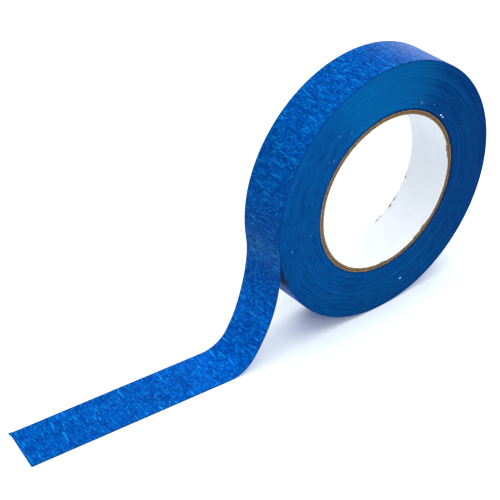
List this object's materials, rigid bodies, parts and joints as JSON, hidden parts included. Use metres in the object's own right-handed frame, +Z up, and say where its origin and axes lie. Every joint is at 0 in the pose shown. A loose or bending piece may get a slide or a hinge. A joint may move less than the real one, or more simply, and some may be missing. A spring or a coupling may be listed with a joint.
{
  "type": "masking tape roll",
  "caption": "Roll of blue crepe masking tape on a white-lined chipboard core, its free end peeled off the outer turn, dropping to the table and lying flat.",
  "frame": {"origin": "bottom centre of the bounding box of the roll and its free end, on the table", "axes": "+Z up; the roll stands on its rim with its axis along Y; the free end runs along the table towards -X, so X is the longest extent and Y the shortest"},
  "size_m": [0.2528, 0.0342, 0.1278],
  "materials": {
    "liner": "satin",
    "chipboard": "matte",
    "backing": "satin",
    "adhesive": "satin"
  },
  "bodies": {
    "roll": {"core_liner": "liner", "core_ply_1": "chipboard", "core_ply_2": "chipboard", "core_ply_3": "chipboard", "core_ply_4": "chipboard", "wound_tape": "backing"},
    "outer_turn_1": {"outer_turn_backing_1": "backing", "outer_turn_adhesive_1": "adhesive"},
    "outer_turn_2": {"outer_turn_backing_2": "backing", "outer_turn_adhesive_2": "adhesive"},
    "outer_turn_3": {"outer_turn_backing_3": "backing", "outer_turn_adhesive_3": "adhesive"},
    "free_end_1": {"free_end_backing_1": "backing", "free_end_adhesive_1": "adhesive"},
    "free_end_2": {"free_end_backing_2": "backing", "free_end_adhesive_2": "adhesive"},
    "free_end_3": {"free_end_backing_3": "backing", "free_end_adhesive_3": "adhesive"},
    "free_end_4": {"free_end_backing_4": "backing", "free_end_adhesive_4": "adhesive"},
    "free_end_5": {"free_end_backing_5": "backing", "free_end_adhesive_5": "adhesive"},
    "free_end_6": {"free_end_backing_6": "backing", "free_end_adhesive_6": "adhesive"},
    "free_end_7": {"free_end_backing_7": "backing", "free_end_adhesive_7": "adhesive"},
    "free_end_8": {"free_end_backing_8": "backing", "free_end_adhesive_8": "adhesive"},
    "free_end_9": {"free_end_backing_9": "backing", "free_end_adhesive_9": "adhesive"}
  },
  "joints": [
    {"name": "outer_turn_peel_1", "type": "hinge", "parent": "roll", "child": "outer_turn_1", "pos_m": [0.02307, -0.00511, 0.11427], "axis": [0, 1, 0], "range_deg": [0, 15]},
    {"name": "outer_turn_peel_2", "type": "hinge", "parent": "outer_turn_1", "child": "outer_turn_2", "pos_m": [0.0082, -0.00511, 0.09777], "axis": [0, 1, 0], "range_deg": [0, 15]},
    {"name": "outer_turn_peel_3", "type": "hinge", "parent": "outer_turn_2", "child": "outer_turn_3", "pos_m": [-0.00013, -0.00511, 0.07717], "axis": [0, 1, 0], "range_deg": [0, 15]},
    {"name": "free_end_fold_1", "type": "hinge", "parent": "outer_turn_3", "child": "free_end_1", "pos_m": [-0.00091, -0.00511, 0.05497], "axis": [0, 1, 0], "range_deg": [0, 30]},
    {"name": "free_end_fold_2", "type": "hinge", "parent": "free_end_1", "child": "free_end_2", "pos_m": [-0.00142, -0.00511, 0.03907], "axis": [0, 1, 0], "range_deg": [0, 10]},
    {"name": "free_end_fold_3", "type": "hinge", "parent": "free_end_2", "child": "free_end_3", "pos_m": [-0.00602, -0.00507, 0.02275], "axis": [0.0235, 0.9997, 0], "range_deg": [0, 10]},
    {"name": "free_end_fold_4", "type": "hinge", "parent": "free_end_3", "child": "free_end_4", "pos_m": [-0.01413, -0.00459, 0.0073], "axis": [0.0846, 0.9964, 0], "range_deg": [0, 10]},
    {"name": "free_end_fold_5", "type": "hinge", "parent": "free_end_4", "child": "free_end_5", "pos_m": [-0.03065, -0.00313, 0.00007], "axis": [0.0884, 0.9961, 0], "range_deg": [0, 22]},
    {"name": "free_end_fold_6", "type": "hinge", "parent": "free_end_5", "child": "free_end_6", "pos_m": [-0.04945, -0.00146, 0.00007], "axis": [0.0884, 0.9961, 0], "range_deg": [0, 22]},
    {"name": "free_end_fold_7", "type": "hinge", "parent": "free_end_6", "child": "free_end_7", "pos_m": [-0.06825, 0.00021, 0.00007], "axis": [0.0884, 0.9961, 0], "range_deg": [0, 22]},
    {"name": "free_end_fold_8", "type": "hinge", "parent": "free_end_7", "child": "free_end_8", "pos_m": [-0.08705, 0.00188, 0.00007], "axis": [0.0884, 0.9961, 0], "range_deg": [0, 22]},
    {"name": "free_end_fold_9", "type": "hinge", "parent": "free_end_8", "child": "free_end_9", "pos_m": [-0.10585, 0.00354, 0.00007], "axis": [0.0884, 0.9961, 0], "range_deg": [0, 30]}
  ]
}
